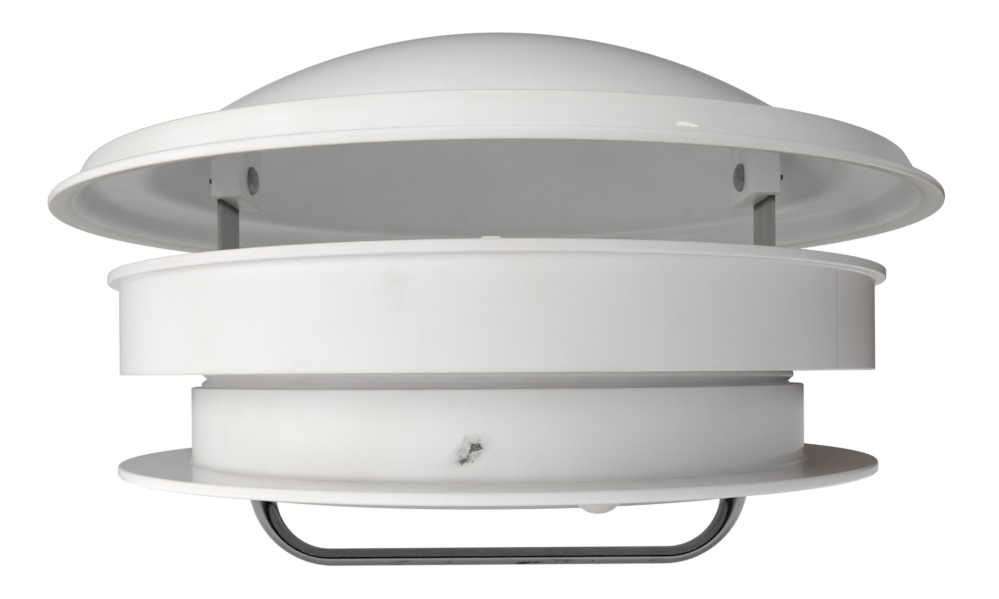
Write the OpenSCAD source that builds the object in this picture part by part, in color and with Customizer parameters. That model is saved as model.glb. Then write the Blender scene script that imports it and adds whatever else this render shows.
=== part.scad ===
// Round roof vent for a caravan, drawn open.
// A domed lid is pushed up and pulled down by a bow handle under the ceiling.
// Millimetres, +Z up. The origin is on the vent's axis, level with the roof's outer skin.

/* [Roof collar] */
// Outside diameter of the collar's wall
collar_d = 242.2; // [230:0.2:260]
// Height of the collar above the roof
collar_h = 30.3; // [24:0.1:45]
// Thickness of the collar's wall and deck
wall = 3; // [2.4:0.1:4]
// Overhang of the lip round the top
lip_out = 3.3; // [2:0.1:6]
// Height of the lip, which has a half-round edge
lip_h = 3; // [2:0.1:4]
// Diameter of the threaded spigot over its crests
spigot_d = 193.8; // [180:0.2:200]
// Thickness of the spigot's wall at a crest
spigot_wall = 3.7; // [3:0.1:5]
// Length of the spigot below the roof
spigot_drop = 24; // [16:0.5:40]
// Radius of the rounded mouth where the deck meets the spigot
mouth_r = 5; // [3:0.1:8]
// Pitch of the spigot's thread
thread_pitch = 4.2; // [3.6:0.1:6]
// Depth of the spigot's thread
thread_depth = 1.7; // [1:0.1:2]
// Width of the thread's V groove at the crest
thread_groove_w = 2.8; // [2:0.1:3.4]
// Depth of the first groove's middle below the roof
thread_start = 2.2; // [1.8:0.1:4]

/* [Dome] */
// Thickness of the formed shell
dome_t = 3; // [2:0.1:4]
// Gap between the collar's lip and the inside of the skirt's corner
skirt_gap = 3.4; // [2:0.1:8]
// Width of the flat ledge round the cap
ledge_w = 15.6; // [13:0.1:20]
// Height of the cap above the ledge
cap_rise = 45; // [35:0.5:60]
// Height of the sloping skirt
skirt_h = 7.6; // [5:0.1:14]
// Distance that the skirt flares outwards
skirt_flare = 5; // [2:0.1:8]
// Width of the brim outside the skirt
brim_w = 5; // [3.5:0.1:10]
// Drop of the brim across its width
brim_drop = 2.1; // [0.5:0.1:4]
// Height of the turned-down edge of the brim
rim_turn = 0.9; // [0.5:0.1:3]
// Distance that the turned-down edge leans inwards
rim_tuck = 0.3; // [0:0.1:1]

/* [Lift] */
// Gap between the lip seal and the dome's ledge when open
open_lift = 28.6; // [20:0.1:40]

/* [Lip seal] */
// Width of the seal ring
seal_w = 5; // [3:0.1:6]
// Depth of the groove that the seal sits in
seal_seat = 1.5; // [1:0.1:1.8]
// Height of the seal above the deck
seal_proud = 0.6; // [0.3:0.1:1.5]
// Distance of the seal from the outside of the collar's wall
seal_inset = 2.4; // [1.5:0.1:3.2]

/* [Ceiling ring] */
// Distance between the collar's foot and the flange, which is the roof's thickness
roof_t = 27.2; // [22:0.1:34]
// Distance of the neck's top edge below the collar's foot
neck_gap = 3.9; // [1:0.1:8]
// Thickness of the neck's wall
neck_t = 2.7; // [2:0.1:4]
// Width of the flange outside the neck
flange_w = 21.8; // [20:0.1:34]
// Thickness of the flange, which has a half-round edge
flange_t = 3.2; // [2.4:0.1:5]
// Depth of the rim below the flange
ring_rim = 3.5; // [1:0.1:8]
// Radius of the fillet between the neck and the flange
neck_fillet = 1.6; // [0.8:0.1:3]

/* [Ring plugs] */
// Number of domed plugs round the flange
plug_count = 4; // [2:1:6]
// Diameter of a plug's domed head
plug_d = 11.6; // [8:0.1:14]
// Height of a plug's domed head
plug_h = 3.4; // [2:0.1:5]
// Diameter of a plug's stem and of its hole
plug_stem_d = 6; // [4:0.1:7]
// Distance of the plugs from the outside of the neck
plug_inset = 12; // [9:0.1:13]
// Turn of the first plug from the front of the vent
plug_turn = 12.2; // [0:0.1:45]

/* [Straps] */
// Width of a strap
strap_w = 24; // [16:0.5:28]
// Thickness of a strap
strap_t = 1.5; // [1:0.1:2]
// Inside radius of the bend above a strap's foot
bend_r = 1.5; // [1:0.1:3]
// Depth of the foot's underside below the roof when open
foot_drop = 30; // [24:0.5:50]
// Distance from a strap's inner face to its handle screw
foot_inset = 10.1; // [9:0.1:14]
// Length of a foot past its handle screw
foot_margin = 8; // [5.5:0.1:12]
// Reach of the tab that stops a strap under its guide
tab_reach = 3.6; // [2.5:0.1:5]
// Width of the stop tab
tab_w = 8; // [4:0.1:12]

/* [Lugs] */
// Thickness of a lug
lug_t = 9.2; // [8:0.1:14]
// Length of a lug along the strap's width
lug_l = 32; // [30:0.5:34]
// Depth of a lug's foot below the inside of the cap, at the strap's outer corners
lug_drop = 18.2; // [16.5:0.1:20]
// Thickness of the lug outside the strap
lug_cover = 0.8; // [0.6:0.1:1.2]
// Depth of the slot that the strap enters
lug_slot = 13.5; // [11:0.1:15]
// Height of the rivet above the lug's foot
rivet_rise = 8; // [6.5:0.1:9]

/* [Guides] */
// Width of a guide across its ears
guide_w = 44; // [42:0.5:50]
// Depth of a guide from the strap's inner face towards the axis
guide_depth = 6; // [5:0.1:9]
// Length of a guide along the strap
guide_h = 26; // [22:0.5:28]
// Distance of a guide's top below the closed lug
guide_top_gap = 5; // [4:0.1:8]
// Height of the guide's screws above the guide's foot
guide_screw_rise = 14; // [10:0.5:16]
// Thickness of a friction spring's leaf
spring_t = 0.5; // [0.3:0.1:0.6]
// Width of a friction spring
spring_w = 14; // [8:0.5:18]
// Length of a friction spring
spring_l = 20; // [14:0.5:20]
// Depth of the pocket that a friction spring sits in
spring_pocket = 1.7; // [1.4:0.1:2.2]

/* [Handle] */
// Distance from the feet to the underside of the bar
handle_proj = 35.1; // [32:0.1:50]
// Thickness of a handle leg, seen from the front
handle_leg = 9.3; // [8:0.1:12]
// Thickness of the handle's bar, seen from the front
handle_bar = 5.8; // [4:0.1:10]
// Depth of the handle from front to back
handle_depth = 10; // [8:0.1:16]
// Outside radius of the handle's bends
handle_bend = 30; // [20:0.5:31]

/* [Fasteners] */
// Diameter of a rivet's shank
rivet_d = 4; // [3:0.1:5]
// Diameter of a rivet's domed head
rivet_head_d = 9.4; // [7:0.1:11]
// Height of a rivet's domed head
rivet_head_h = 2.4; // [1.5:0.1:3]
// Height of a rivet's closed tail
rivet_tail_h = 0.6; // [0.3:0.1:0.7]
// Diameter of a rivet's closed tail
rivet_tail_d = 5; // [4.5:0.1:7]
// Diameter of a handle screw
screw_d = 4; // [3:0.1:5]
// Diameter of a handle screw's head
screw_head_d = 7.5; // [6.5:0.1:9]
// Height of a handle screw's head
screw_head_h = 2.4; // [1.5:0.1:3.5]
// Width and depth of the slot in a handle screw's head
screw_slot = 1.1; // [0.6:0.1:1.4]
// Depth that a handle screw enters its leg
screw_grip = 10; // [6:0.5:14]
// Thickness of a handle screw's washer
washer_t = 0.8; // [0.5:0.1:1.5]
// Diameter of a handle screw's washer
washer_d = 9; // [8:0.1:12]
// Diameter of a guide screw
guide_screw_d = 3; // [2.5:0.1:3.5]
// Diameter of a guide screw's head
guide_screw_head_d = 5.5; // [4.5:0.1:6.5]
// Height of a guide screw's head
guide_screw_head_h = 2; // [1.5:0.1:2.5]
// Thickness of the spigot's wall that is left outside a guide screw's tip
guide_screw_land = 0.8; // [0.5:0.1:1.5]

/* [Clearances] */
// Clearance of pieces that are fixed to each other
fit = 0.1; // [0.05:0.01:0.2]
// Clearance of faces that slide
slide = 0.3; // [0.2:0.05:0.5]
// Distance between a strap's edges and the spigot's bore
strap_clear = 0.8; // [0.5:0.1:1.2]
// Clearance between the ceiling ring and the spigot's crests
ring_clear = 0.4; // [0.3:0.05:0.6]
// Gap between a friction spring's crown and its strap
spring_gap = 0.2; // [0.1:0.05:0.4]
// Clearance of a screw in a hole that it passes
screw_clear = 0.2; // [0.1:0.05:0.3]

/* [Hidden] */
$fn = 96;

left = -1;
right = 1;
// Extra length of a cutter past the face that it cuts
past = 1;

white = "whitesmoke";
steel = "silver";
chrome = "gainsboro";
guide_grey = "lightgray";
seal_black = "dimgray";

// Radii of the collar and the spigot
collar_r = collar_d / 2;
lip_r = collar_r + lip_out;
spigot_r = spigot_d / 2;
bore_r = spigot_r - spigot_wall;
thread_count = floor((spigot_drop - thread_start) / thread_pitch) + 1;

// The seal on the deck
seal_out_r = collar_r - seal_inset;
seal_in_r = seal_out_r - seal_w;
seal_top = collar_h + seal_proud;

// The dome's section, along the middle of its wall
ledge_under = seal_top + open_lift;
ledge_mid = ledge_under + dome_t / 2;
ledge_top = ledge_under + dome_t;
ledge_corner = [lip_r + skirt_gap + dome_t / 2, ledge_mid];
skirt_foot = ledge_corner + [skirt_flare, -skirt_h];
brim_edge = skirt_foot + [brim_w, -brim_drop];
rim_foot = brim_edge - [rim_tuck, rim_turn];
cap_base_r = ledge_corner.x - ledge_w;
cap_ball_r = (cap_base_r * cap_base_r + cap_rise * cap_rise) / (2 * cap_rise);
cap_centre = [0, ledge_top + cap_rise - cap_ball_r];
cap_inside_r = cap_ball_r - dome_t;

// The straps, which hang inside the spigot's bore
strap_out = sqrt(bore_r * bore_r - strap_w * strap_w / 4) - strap_clear;
strap_in = strap_out - strap_t;
foot_z = -foot_drop;
foot_top = foot_z + strap_t;
screw_x = strap_in - foot_inset;
foot_end = screw_x - foot_margin;
bend_centre = [strap_in - bend_r, foot_top + bend_r];

// The lugs under the cap
strap_corner_r = norm([strap_out, strap_w / 2]);
cap_over_strap = cap_centre.y + sqrt(cap_inside_r * cap_inside_r - strap_corner_r * strap_corner_r);
lug_foot = cap_over_strap - lug_drop;
lug_out = strap_out + lug_cover;
lug_in = lug_out - lug_t;
strap_top = lug_foot + lug_slot - fit;
rivet_z = lug_foot + rivet_rise;

// The guides on the wall of the bore
guide_top = lug_foot - open_lift - guide_top_gap;
guide_foot = guide_top - guide_h;
guide_in = strap_in - guide_depth;
channel_w = strap_w + 2 * slide;
ear_y = (channel_w + guide_w) / 4;
guide_screw_z = guide_foot + guide_screw_rise;
guide_screw_tip = sqrt(spigot_r * spigot_r - ear_y * ear_y) - guide_screw_land;
tab_top = guide_foot - slide;

// The friction springs, bowed between the pocket and the strap
pocket_x = strap_in - slide - spring_pocket;
spring_bow = spring_pocket + slide - spring_gap - spring_t;
spring_ball_r = (spring_l * spring_l / 4 + spring_bow * spring_bow) / (2 * spring_bow);
spring_z = guide_foot + guide_h / 2;

// The ceiling ring
ring_in_r = spigot_r + ring_clear;
neck_r = ring_in_r + neck_t;
flange_r = neck_r + flange_w;
flange_z = -roof_t - flange_t;
plug_r = neck_r + plug_inset;
plug_ball_r = (plug_d * plug_d / 4 + plug_h * plug_h) / (2 * plug_h);

// The handle
handle_half = screw_x + handle_leg / 2;
bar_z = foot_z - handle_proj;
inner_bend = handle_bend - (handle_leg + handle_bar) / 2;
rivet_ball_r = (rivet_head_d * rivet_head_d / 4 + rivet_head_h * rivet_head_h) / (2 * rivet_head_h);

// Draws the right-hand piece, or its mirror image on the left
module on_side(side) {
    mirror([side < 0 ? 1 : 0, 0, 0])
        children();
}

// Extrudes a shape drawn in X and Z, centred on Y
module plate_xz(width) {
    rotate([90, 0, 0])
        linear_extrude(width, center = true)
            children();
}

// A cylinder along +X from the point
module rod_x(point, d, length) {
    translate(point)
        rotate([0, 90, 0])
            cylinder(d = d, h = length);
}

// A cap of a ball: base at z = 0, top at z = height
module ball_cap(ball_r, height) {
    intersection() {
        translate([0, 0, height - ball_r])
            sphere(ball_r);
        cylinder(r = 2 * ball_r, h = height + past);
    }
}

// A bar with round ends from a to b
module round_bar(a, b, thick) {
    translate(a)
        rotate(atan2(b.y - a.y, b.x - a.x))
            translate([0, -thick / 2])
                square([norm(b - a), thick]);
    for (end = [a, b])
        translate(end)
            circle(d = thick);
}

// The area inside a rounded U, open at the top
module u_area(half, bottom, top, bend) {
    translate([-half, bottom + bend])
        square([2 * half, top - bottom - bend]);
    translate([bend - half, bottom])
        square([2 * (half - bend), bend + past]);
    for (side = [left, right])
        translate([side * (half - bend), bottom + bend])
            intersection() {
                circle(bend);
                translate([-bend, -bend])
                    square([2 * bend, bend]);
            }
}

module dome_section() {
    difference() {
        intersection() {
            translate(cap_centre)
                circle(cap_ball_r);
            translate([0, ledge_under])
                square([ledge_corner.x, cap_rise + 2 * dome_t]);
        }
        translate(cap_centre)
            circle(cap_inside_r);
    }
    round_bar([cap_base_r, ledge_mid], ledge_corner, dome_t);
    round_bar(ledge_corner, skirt_foot, dome_t);
    round_bar(skirt_foot, brim_edge, dome_t);
    round_bar(brim_edge, rim_foot, dome_t);
}

module dome_shell() {
    color(white)
        rotate_extrude()
            dome_section();
}

module lug(side) {
    color(white)
        on_side(side)
            difference() {
                intersection() {
                    translate([lug_in, -lug_l / 2, lug_foot])
                        cube([lug_t, lug_l, cap_rise]);
                    translate([0, 0, cap_centre.y])
                        sphere(cap_inside_r - fit);
                }
                translate([strap_in - fit, -strap_w / 2 - fit, lug_foot - past])
                    cube([strap_t + 2 * fit, strap_w + 2 * fit, lug_slot + past]);
                rod_x([lug_in - past, 0, rivet_z], rivet_d + 2 * fit, lug_t + 2 * past);
            }
}

module strap_section() {
    translate([strap_in, bend_centre.y])
        square([strap_t, strap_top - bend_centre.y]);
    translate([foot_end, foot_z])
        square([bend_centre.x - foot_end, strap_t]);
    intersection() {
        difference() {
            translate(bend_centre)
                circle(bend_r + strap_t);
            translate(bend_centre)
                circle(bend_r);
        }
        translate([bend_centre.x, foot_z])
            square(bend_r + strap_t);
    }
}

module strap(side) {
    color(steel)
        on_side(side) {
            difference() {
                plate_xz(strap_w)
                    strap_section();
                rod_x([strap_in - past, 0, rivet_z], rivet_d + 2 * fit, strap_t + 2 * past);
                translate([screw_x, 0, foot_z - past])
                    cylinder(d = screw_d + 2 * screw_clear, h = strap_t + 2 * past);
                translate([strap_in - past, -tab_w / 2, tab_top - strap_t - tab_reach])
                    cube([strap_t + 2 * past, tab_w, tab_reach]);
            }
            translate([strap_in - tab_reach, -tab_w / 2, tab_top - strap_t])
                cube([tab_reach + strap_t, tab_w, strap_t]);
        }
}

module rivet(side) {
    color(steel)
        on_side(side) {
            translate([lug_in, 0, rivet_z])
                rotate([0, -90, 0])
                    ball_cap(rivet_ball_r, rivet_head_h);
            rod_x([lug_in, 0, rivet_z], rivet_d, lug_t);
            rod_x([lug_out, 0, rivet_z], rivet_tail_d, rivet_tail_h);
        }
}

module handle() {
    color(chrome)
        difference() {
            plate_xz(handle_depth)
                difference() {
                    u_area(handle_half, bar_z, foot_z, handle_bend);
                    u_area(handle_half - handle_leg, bar_z + handle_bar, foot_z + past, inner_bend);
                }
            for (side = [left, right])
                translate([side * screw_x, 0, foot_z - screw_grip - past])
                    cylinder(d = screw_d + 2 * fit, h = screw_grip + 2 * past);
        }
}

module handle_screw(side) {
    color(steel)
        on_side(side)
            translate([screw_x, 0, foot_top + washer_t]) {
                difference() {
                    cylinder(d = screw_head_d, h = screw_head_h);
                    translate([-screw_head_d, -screw_slot / 2, screw_head_h - screw_slot])
                        cube([2 * screw_head_d, screw_slot, screw_slot + past]);
                }
                translate([0, 0, -washer_t - strap_t - screw_grip])
                    cylinder(d = screw_d, h = washer_t + strap_t + screw_grip);
            }
}

module washer(side) {
    color(steel)
        on_side(side)
            translate([screw_x, 0, foot_top])
                difference() {
                    cylinder(d = washer_d, h = washer_t);
                    translate([0, 0, -past])
                        cylinder(d = screw_d + 2 * screw_clear, h = washer_t + 2 * past);
                }
}

// What the rounded mouth takes off the deck's inner edge and the spigot's top
module mouth_cut() {
    difference() {
        translate([bore_r - past, collar_h - mouth_r])
            square(mouth_r + past);
        translate([bore_r + mouth_r, collar_h - mouth_r])
            circle(mouth_r);
    }
}

module collar_section() {
    difference() {
        union() {
            translate([collar_r - wall, 0])
                square([wall, collar_h]);
            round_bar(
                [collar_r - wall / 2, collar_h - lip_h / 2],
                [lip_r - lip_h / 2, collar_h - lip_h / 2],
                lip_h
            );
            translate([bore_r, collar_h - wall])
                square([collar_r - bore_r, wall]);
        }
        mouth_cut();
        translate([seal_in_r, collar_h - seal_seat])
            square([seal_w, seal_seat + past]);
    }
}

module roof_collar() {
    color(white)
        rotate_extrude()
            collar_section();
}

module spigot_section() {
    difference() {
        translate([bore_r, -spigot_drop])
            square([spigot_wall, spigot_drop + collar_h - wall]);
        mouth_cut();
        for (i = [0 : thread_count - 1])
            translate([spigot_r, -thread_start - i * thread_pitch])
                polygon([[-thread_depth, 0], [0, thread_groove_w / 2], [past, thread_groove_w / 2],
                    [past, -thread_groove_w / 2], [0, -thread_groove_w / 2]]);
    }
}

// The spigot's top face meets the underside of the deck
module threaded_spigot() {
    color(white)
        difference() {
            rotate_extrude()
                spigot_section();
            for (side = [left, right])
                on_side(side)
                    for (y = [-ear_y, ear_y])
                        rod_x([guide_in, y, guide_screw_z], guide_screw_d + 2 * fit,
                            guide_screw_tip - guide_in + fit);
        }
}

module lip_seal() {
    color(seal_black)
        rotate_extrude()
            translate([seal_in_r + fit, collar_h - seal_seat])
                square([seal_w - 2 * fit, seal_seat + seal_proud]);
}

module guide(side) {
    color(guide_grey)
        on_side(side)
            difference() {
                intersection() {
                    translate([guide_in, -guide_w / 2, guide_foot])
                        cube([bore_r, guide_w, guide_h]);
                    translate([0, 0, guide_foot - past])
                        cylinder(r = bore_r - fit, h = guide_h + 2 * past);
                }
                translate([strap_in - slide, -channel_w / 2, guide_foot - past])
                    cube([bore_r, channel_w, guide_h + 2 * past]);
                translate([pocket_x, -spring_w / 2 - fit, spring_z - spring_l / 2 - slide])
                    cube([spring_pocket + past, spring_w + 2 * fit, spring_l + 2 * slide]);
                for (y = [-ear_y, ear_y]) {
                    rod_x([guide_in - past, y, guide_screw_z], guide_screw_d + 2 * fit, bore_r);
                    rod_x([guide_in - past, y, guide_screw_z], guide_screw_head_d + 2 * screw_clear,
                        guide_screw_head_h + fit + past);
                }
            }
}

module spring(side) {
    color(steel)
        on_side(side)
            plate_xz(spring_w)
                translate([pocket_x + spring_bow - spring_ball_r, spring_z])
                    intersection() {
                        difference() {
                            circle(spring_ball_r + spring_t);
                            circle(spring_ball_r);
                        }
                        translate([0, -spring_l / 2])
                            square([2 * spring_ball_r, spring_l]);
                    }
}

module guide_screws(side) {
    color(steel)
        on_side(side)
            for (y = [-ear_y, ear_y]) {
                rod_x([guide_in + fit, y, guide_screw_z], guide_screw_head_d, guide_screw_head_h);
                rod_x([guide_in + fit, y, guide_screw_z], guide_screw_d, guide_screw_tip - guide_in - fit);
            }
}

module ring_section() {
    translate([ring_in_r, flange_z - ring_rim])
        square([neck_t, roof_t + flange_t + ring_rim - neck_gap]);
    round_bar([ring_in_r + flange_t / 2, flange_z + flange_t / 2],
        [flange_r - flange_t / 2, flange_z + flange_t / 2], flange_t);
    difference() {
        translate([neck_r - fit, -roof_t - fit])
            square(neck_fillet + fit);
        translate([neck_r + neck_fillet, neck_fillet - roof_t])
            circle(neck_fillet);
    }
}

// Places children at each plug, with z = 0 on the flange's underside
module at_plugs() {
    for (i = [0 : plug_count - 1])
        rotate(plug_turn - 90 + i * 360 / plug_count)
            translate([plug_r, 0, flange_z])
                children();
}

module ceiling_ring() {
    color(white)
        difference() {
            rotate_extrude()
                ring_section();
            at_plugs()
                translate([0, 0, -past])
                    cylinder(d = plug_stem_d, h = flange_t + 2 * past);
        }
}

module ring_plugs() {
    color(white)
        at_plugs() {
            mirror([0, 0, 1])
                ball_cap(plug_ball_r, plug_h);
            cylinder(d = plug_stem_d - 2 * fit, h = flange_t);
        }
}

dome_shell();
lug(left);  // left_lug
lug(right);  // right_lug
strap(left);  // left_strap
strap(right);  // right_strap
rivet(left);  // left_rivet
rivet(right);  // right_rivet
handle();
handle_screw(left);  // left_handle_screw
handle_screw(right);  // right_handle_screw
washer(left);  // left_washer
washer(right);  // right_washer
roof_collar();
threaded_spigot();
lip_seal();
guide(left);  // left_guide
guide(right);  // right_guide
spring(left);  // left_spring
spring(right);  // right_spring
guide_screws(left);  // left_guide_screws
guide_screws(right);  // right_guide_screws
ceiling_ring();
ring_plugs();
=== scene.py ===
"""Dresses the packed roof vent: white mouldings, steel straps and a worn chrome bow handle."""

import contextlib
import math

import bmesh
import bpy
from bpy.props import FloatProperty, FloatVectorProperty, IntProperty, PointerProperty
from mathutils import Matrix, Vector


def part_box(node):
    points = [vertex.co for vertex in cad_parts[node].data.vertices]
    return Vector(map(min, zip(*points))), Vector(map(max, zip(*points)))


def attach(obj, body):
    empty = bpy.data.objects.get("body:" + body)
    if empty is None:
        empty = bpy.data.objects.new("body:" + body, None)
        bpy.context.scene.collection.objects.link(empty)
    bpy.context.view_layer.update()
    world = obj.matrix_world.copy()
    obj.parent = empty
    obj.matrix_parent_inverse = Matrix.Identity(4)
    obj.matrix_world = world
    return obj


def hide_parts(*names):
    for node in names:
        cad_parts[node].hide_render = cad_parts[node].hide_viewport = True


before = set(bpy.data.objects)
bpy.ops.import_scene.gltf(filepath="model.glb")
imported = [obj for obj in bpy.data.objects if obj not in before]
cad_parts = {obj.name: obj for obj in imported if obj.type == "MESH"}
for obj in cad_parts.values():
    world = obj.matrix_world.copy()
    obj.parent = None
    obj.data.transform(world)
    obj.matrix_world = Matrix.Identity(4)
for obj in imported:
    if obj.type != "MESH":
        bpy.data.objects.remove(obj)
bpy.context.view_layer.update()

bl_info = {
    "name": "Caravan roof vent",
    "version": (1, 0, 0),
    "blender": (4, 5, 0),
    "location": "3D View > Sidebar > Roof vent",
    "description": "Builds the visible pieces of a mushroom roof vent around its packed frame",
    "category": "Object",
}

MM = 0.001
SIDES = ("left", "right")

_, DOME_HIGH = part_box("dome_shell")
_, COLLAR_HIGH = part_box("roof_collar")
SPIGOT_LOW, SPIGOT_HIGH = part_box("threaded_spigot")
SEAL_LOW, SEAL_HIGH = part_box("lip_seal")
RING_LOW, RING_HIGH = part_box("ceiling_ring")
PLUG_LOW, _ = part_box("ring_plugs")
HANDLE_LOW, HANDLE_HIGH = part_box("handle")
RIVET_LOW, RIVET_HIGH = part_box("right_rivet")
LUG_LOW, LUG_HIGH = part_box("right_lug")
WASHER_LOW, WASHER_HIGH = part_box("right_washer")
HANDLE_SCREW_LOW, HANDLE_SCREW_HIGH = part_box("right_handle_screw")
GUIDE_SCREW_LOW, GUIDE_SCREW_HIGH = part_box("right_guide_screws")


def length(name, metres, description):
    """A size that the sidebar shows in the scene's units."""
    return FloatProperty(name=name, description=description, default=metres, unit="LENGTH", precision=5)


def rotation(name, radians, description):
    """A turn that the sidebar shows in degrees."""
    return FloatProperty(name=name, description=description, default=radians, unit="ROTATION")


def power(name, watts, description):
    """A lamp's power."""
    return FloatProperty(name=name, description=description, default=watts, unit="POWER")


def colour(name, value, description):
    """A linear colour that the sidebar shows as a swatch."""
    return FloatVectorProperty(
        name=name, description=description, default=value, size=3, min=0.0, max=1.0, subtype="COLOR"
    )


def factor(name, value, description):
    """A share from 0 to 1."""
    return FloatProperty(
        name=name, description=description, default=value, min=0.0, max=1.0, subtype="FACTOR"
    )


class VentDomeSizes(bpy.types.PropertyGroup):
    """Sizes of the formed dome, whose section is drawn along the middle of its wall."""

    wall: length("Wall", 3.0 * MM, "Thickness of the formed sheet")
    crown_z: length("Crown height", DOME_HIGH[2], "Height of the top of the cap")
    cap_r: length("Cap radius", 113.7 * MM, "Radius at which the cap rises from the ledge")
    ledge_z: length("Ledge height", 62.5 * MM, "Height of the ledge's upper face")
    ledge_r: length("Ledge radius", 129.3 * MM, "Radius at which the ledge turns down into the skirt")
    skirt_r: length("Skirt radius", 134.3 * MM, "Radius at the skirt's foot")
    skirt_z: length("Skirt height", 51.6 * MM, "Height of the skirt's foot")
    brim_r: length("Brim radius", DOME_HIGH[0], "Radius of the brim's rounded edge")
    brim_z: length("Brim height", 50.5 * MM, "Height of the middle of that edge")
    segments: IntProperty(name="Segments", description="Facets round the vent", default=256, min=32)


class VentCollarSizes(bpy.types.PropertyGroup):
    """Sizes of the roof collar with its threaded spigot and the seal on its deck."""

    outer_r: length("Wall radius", 121.1 * MM, "Outer radius of the collar's wall")
    wall: length("Wall", 3.0 * MM, "Thickness of the wall and the deck")
    lip_r: length("Lip radius", COLLAR_HIGH[0], "Outer radius of the rolled lip")
    deck_z: length("Deck height", COLLAR_HIGH[2], "Height of the deck's upper face")
    bore_r: length("Bore radius", 93.2 * MM, "Radius of the duct through the spigot")
    mouth_r: length("Mouth rounding", 5.0 * MM, "Radius of the duct's rounded mouth")
    spigot_r: length("Spigot radius", SPIGOT_HIGH[0], "Radius over the thread's crests")
    spigot_z: length("Spigot foot", SPIGOT_LOW[2], "Height of the spigot's lower end")
    pitch: length("Thread pitch", 4.2 * MM, "Fall of the thread in one turn")
    groove_w: length("Groove width", 2.8 * MM, "Width of the thread's groove at the crests")
    groove_d: length("Groove depth", 1.7 * MM, "Depth of the thread's groove")
    groove_z: length("Groove start", -0.1 * MM, "Height of a groove's valley at the back")
    seal_seat: length("Seal seat", 1.5 * MM, "Depth of the seal's groove in the deck")


class VentRingSizes(bpy.types.PropertyGroup):
    """Sizes of the ceiling ring and its plugs."""

    bore_r: length("Bore radius", 97.3 * MM, "Radius inside the neck")
    neck_r: length("Neck radius", 100.0 * MM, "Radius outside the neck")
    neck_z: length("Neck top", RING_HIGH[2], "Height of the neck's upper end")
    flange_r: length("Flange radius", RING_HIGH[0], "Radius of the flange")
    flange_z: length("Flange height", -27.2 * MM, "Height of the flange's upper face")
    flange_t: length("Flange thickness", 3.2 * MM, "Thickness of the flange")
    rim_z: length("Rim foot", RING_LOW[2], "Height of the lower rim's edge")
    plug_r: length("Plug circle", 112.0 * MM, "Radius at which the plugs sit")
    plug_d: length("Plug width", 11.6 * MM, "Width of a plug's head")
    plug_turn: rotation("Plug turn", math.radians(12.2), "Turn of the first plug from the front")
    plug_count: IntProperty(name="Plugs", description="Plugs round the flange", default=4, min=1)


class VentHandleSizes(bpy.types.PropertyGroup):
    """Sizes of the bow handle."""

    half: length("Half width", HANDLE_HIGH[0], "Half the handle's width over its legs")
    leg: length("Leg width", 9.3 * MM, "Width of a leg, seen from the front")
    bar: length("Bar thickness", 5.8 * MM, "Thickness of the bar, seen from the front")
    depth: length("Depth", HANDLE_HIGH[1] - HANDLE_LOW[1], "Depth of a leg's upper end from front to back")
    bar_depth: length("Bar depth", 7.4 * MM, "Depth of the bar from front to back")
    top_z: length("Leg top", HANDLE_HIGH[2], "Height of the legs' upper ends")
    bar_z: length("Bar foot", HANDLE_LOW[2], "Height of the bar's underside")
    bend: length("Bend radius", 29.0 * MM, "Outer radius of the two bends")
    inner_bend: length("Inner bend radius", 18.0 * MM, "Inner radius of the two bends")
    squareness: FloatProperty(
        name="Squareness", description="2 for an oval section, more for a squarer one", default=2.2, min=2.0
    )


class VentFinishes(bpy.types.PropertyGroup):
    """Colours of the vent's plastics and metals."""

    dome: colour("Dome", (0.86, 0.854, 0.853), "Glossy white sheet of the dome")
    collar: colour("Collar", (0.855, 0.848, 0.848), "Satin white of the collar")
    # Painted light: a lighter white than the collar's, making up for the shade that the collar casts on the
    # ring; the lugs and plugs start from it too.
    ring: colour("Ceiling ring", (0.915, 0.908, 0.907), "Satin white of the ceiling ring")
    # Also the colour of painted shade under the dome's brim, under the lugs and over each whole plug.
    dust_and_shade: colour("Grime", (0.30, 0.27, 0.22), "Dust that settles in corners")
    # Soot is also painted shade: on the ring's lower rim, on the straps where they enter the lugs and on the
    # rivets' tails.
    soot: colour("Soot", (0.012, 0.011, 0.010), "Black marks")
    steel: colour("Strap steel", (0.385, 0.384, 0.376), "Dull rolled steel")
    zinc: colour("Zinc", (0.55, 0.55, 0.54), "Plated screws and rivets")
    chrome: colour("Chrome", (0.30, 0.296, 0.293), "Plating of the handle")
    rubber: colour("Rubber", (0.035, 0.035, 0.036), "Closed-cell foam of the seal")
    guide: colour("Guide", (0.62, 0.62, 0.60), "Matt grey of the guides")


class VentStageSettings(bpy.types.PropertyGroup):
    """Camera and light."""

    distance: length("Camera distance", 367.8 * MM, "From the camera to the vent's axis")
    lens: FloatProperty(name="Lens", description="Focal length", default=39.05, unit="CAMERA")
    roll: rotation("Roll", 0.0072, "Turn of the camera about its view")
    shift_x: FloatProperty(name="Shift X", description="Sideways shift of the frame", default=0.002)
    shift_y: FloatProperty(name="Shift Y", description="Upward shift of the frame", default=0.0733)
    floor_z: length("Floor height", -0.30, "Height of the floor")
    floor_r: length("Floor radius", 0.62, "Radius at which the floor fades into the white around it")
    left_power: power("Left power", 11.6, "Softbox at the left")
    front_power: power("Front power", 5.4, "Softbox behind the camera")
    low_power: power("Low power", 4.4, "Strip below the camera")
    high_power: power("High power", 9.2, "Softbox above the left")
    top_power: power("Top power", 6.2, "Softbox above the right")
    back_power: power("Back power", 4.0, "Softbox behind the right")
    tube_power: power("Tube power", 0.025, "Small tube lamp seen in the gloss")
    ambient: factor("Ambient", 0.10, "Strength of the light from all round")
    wall_tone: factor("Wall tone", 0.05, "Grey of the studio's walls in the metal's reflections")


SETTINGS = {
    "vent_dome": VentDomeSizes,
    "vent_collar": VentCollarSizes,
    "vent_ring": VentRingSizes,
    "vent_handle": VentHandleSizes,
    "vent_finish": VentFinishes,
    "vent_stage": VentStageSettings,
}


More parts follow.
